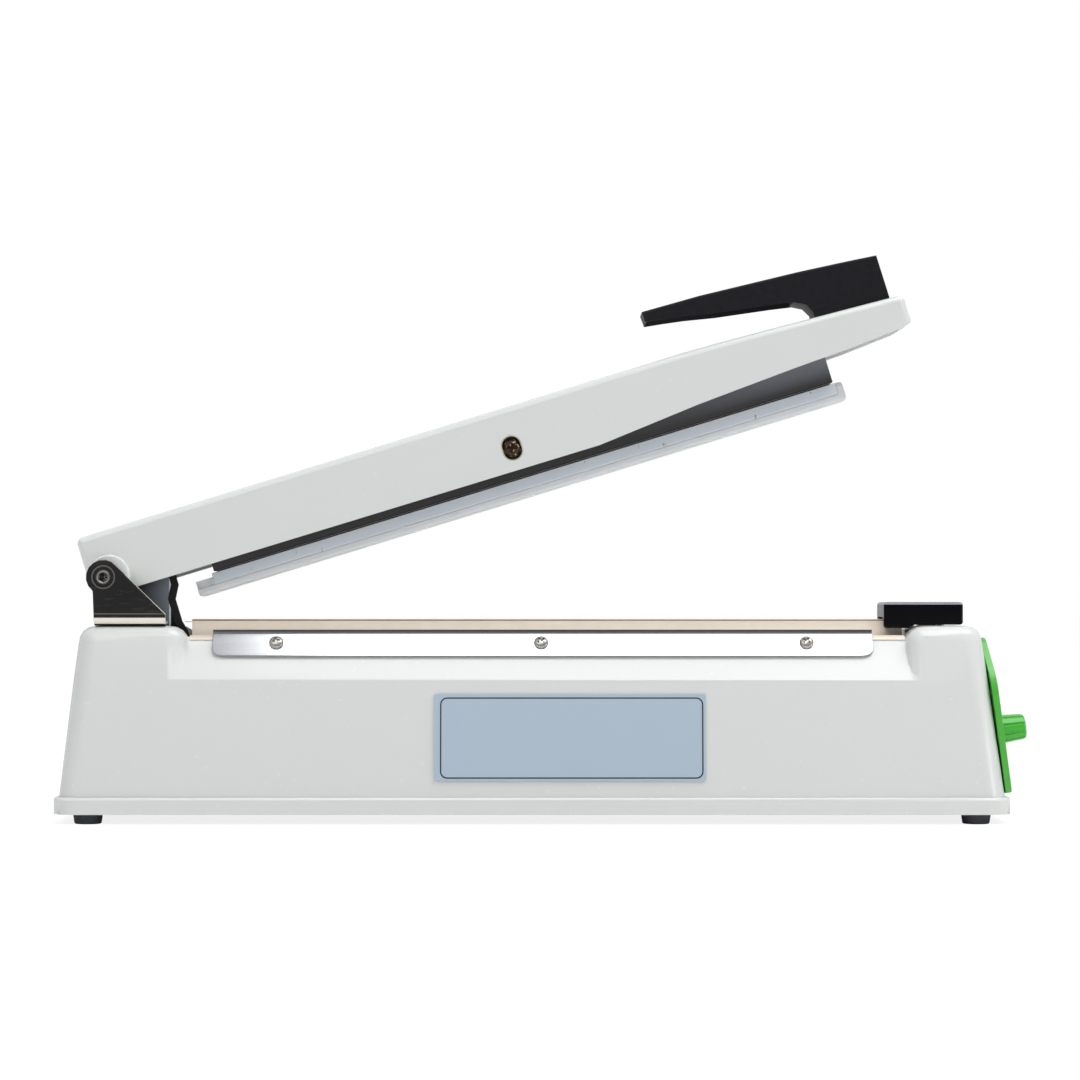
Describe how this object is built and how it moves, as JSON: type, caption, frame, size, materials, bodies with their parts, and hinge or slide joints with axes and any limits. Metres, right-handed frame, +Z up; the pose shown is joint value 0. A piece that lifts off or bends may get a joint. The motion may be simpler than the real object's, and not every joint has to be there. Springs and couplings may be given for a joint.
{
  "type": "impulse sealer",
  "caption": "Hand impulse sealer: a raised-end base with a heated seal bed and timer knob, and a spring-lifted arm with a pressure bar and grip handle.",
  "frame": {"origin": "middle of the overall length and width, on the plane under the rubber feet", "axes": "+Z up, +X from the hinge end towards the timer knob, -Y towards the user and the label plate"},
  "size_m": [0.4538, 0.084, 0.2643],
  "materials": {
    "white_body": "gloss",
    "white_arm": "gloss paint",
    "rubber": "matte",
    "polished_steel": "polished",
    "dark_steel": "gloss",
    "zinc": "satin",
    "bar_aluminium": "satin",
    "silicone": "matte",
    "black_plastic": "satin",
    "green_plastic": "gloss",
    "tape": "satin",
    "pad": "matte",
    "ribbon": "satin",
    "brass": "satin",
    "label": "satin",
    "lamp": "gloss",
    "board": "satin",
    "iron_core": "satin",
    "copper_coil": "satin"
  },
  "bodies": {
    "base": {"base_housing": "white_body", "bottom_plate": "zinc", "foot_1": "rubber", "foot_2": "rubber", "foot_3": "rubber", "foot_4": "rubber", "foot_screw_1": "zinc", "foot_screw_2": "zinc", "foot_screw_3": "zinc", "foot_screw_4": "zinc", "seal_bed": "bar_aluminium", "bed_pad": "pad", "heating_element": "ribbon", "ptfe_tape": "tape", "terminal_left": "brass", "terminal_right": "brass", "terminal_cover": "black_plastic", "terminal_cover_screw_1": "zinc", "terminal_cover_screw_2": "zinc", "cover_plate_front": "polished_steel", "cover_plate_rear": "polished_steel", "cover_screw_front_1": "polished_steel", "cover_screw_front_2": "polished_steel", "cover_screw_front_3": "polished_steel", "cover_screw_rear_1": "polished_steel", "cover_screw_rear_2": "polished_steel", "cover_screw_rear_3": "polished_steel", "hinge_bracket": "dark_steel", "hinge_bolt": "polished_steel", "hinge_nut": "zinc", "bracket_screw_1": "zinc", "bracket_screw_2": "zinc", "bracket_screw_3": "zinc", "bracket_screw_4": "zinc", "spring_stand": "zinc", "return_spring": "polished_steel", "micro_switch": "black_plastic", "timer_panel": "green_plastic", "potentiometer": "zinc", "timer_board": "board", "lamp_lens": "lamp", "panel_screw_1": "zinc", "panel_screw_2": "zinc", "label_plate": "label", "cord_gland": "black_plastic", "transformer_core": "iron_core", "transformer_coil": "copper_coil"},
    "arm": {"arm_housing": "white_arm", "lift_lever": "dark_steel", "arm_handle": "black_plastic", "handle_screw_1": "zinc", "handle_screw_2": "zinc"},
    "bar": {"bar_carrier": "dark_steel", "pressure_bar": "bar_aluminium", "silicone_strip": "silicone", "bar_pivot_screw": "brass", "bar_pivot_nut": "zinc"},
    "knob": {"timer_knob": "green_plastic", "timer_shaft": "zinc"},
    "plunger": {"switch_plunger": "brass"}
  },
  "joints": [
    {"name": "arm_hinge", "type": "hinge", "parent": "base", "child": "arm", "pos_m": [-0.20437, 0, 0.1136], "axis": [0, 1, 0], "range_deg": [0, 16.36], "stiffness_Nm_per_rad": 3, "springref_deg": -57.3, "deforming": ["return_spring"]},
    {"name": "bar_rock", "type": "hinge", "parent": "arm", "child": "bar", "pos_m": [-0.01528, 0, 0.17371], "axis": [0, 1, 0], "range_deg": [0, 0.635]},
    {"name": "knob_turn", "type": "hinge", "parent": "base", "child": "knob", "pos_m": [0.20866, 0, 0.0413], "axis": [0.9912, 0, 0.1323], "range_deg": [-135, 135]},
    {"name": "plunger_slide", "type": "slide", "parent": "base", "child": "plunger", "axis": [0, 0, -1], "range_m": [0, 0.0012], "stiffness_N_per_m": 300, "springref_m": -0.001}
  ],
  "couplings": [
    {"joint": "bar_rock", "follows": "arm_hinge", "ratio": 0.0388},
    {"joint": "plunger_slide", "follows": "arm_hinge", "m_per_rad": 0.0042}
  ]
}
